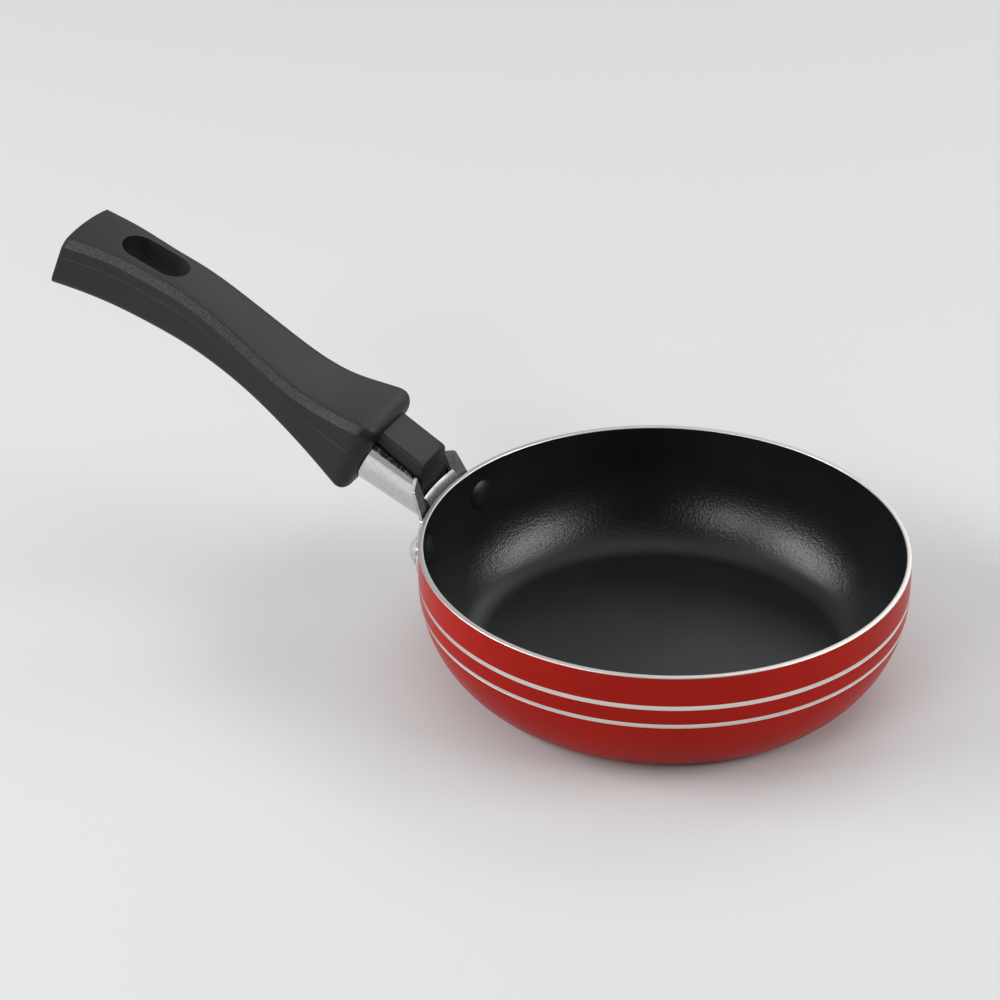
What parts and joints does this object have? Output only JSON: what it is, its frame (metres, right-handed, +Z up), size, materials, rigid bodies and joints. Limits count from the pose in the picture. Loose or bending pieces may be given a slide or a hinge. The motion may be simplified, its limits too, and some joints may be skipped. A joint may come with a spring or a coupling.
{
  "type": "omelette pan",
  "caption": "Small deep non-stick omelette pan with a red lacquered outside, turned bright lines, a riveted chrome bracket and a black waisted handle with a hanging slot.",
  "frame": {"origin": "centre of the pan's base, on the surface that it stands on", "axes": "+Z up along the bowl's axis, -X towards the handle, +Y to the right of a person who looks along the handle from the pan's far side towards the grip's end"},
  "size_m": [0.3391, 0.18, 0.1303],
  "materials": {
    "lacquered_aluminium": "pressed aluminium with glossy red lacquer outside",
    "nonstick": "satin black non-stick coating",
    "bare_aluminium": "machined bare aluminium",
    "chromed_steel": "pressed steel sheet, bright chrome plated",
    "phenolic": "moulded black phenolic, satin, with rough edge bands",
    "plated_steel": "zinc plated",
    "brass": "turned brass"
  },
  "bodies": {
    "root": {"pan_body": "lacquered_aluminium", "rivets": "bare_aluminium", "handle_bracket": "chromed_steel", "handle_grip": "phenolic", "handle_screw": "plated_steel", "threaded_insert": "brass"}
  },
  "joints": []
}
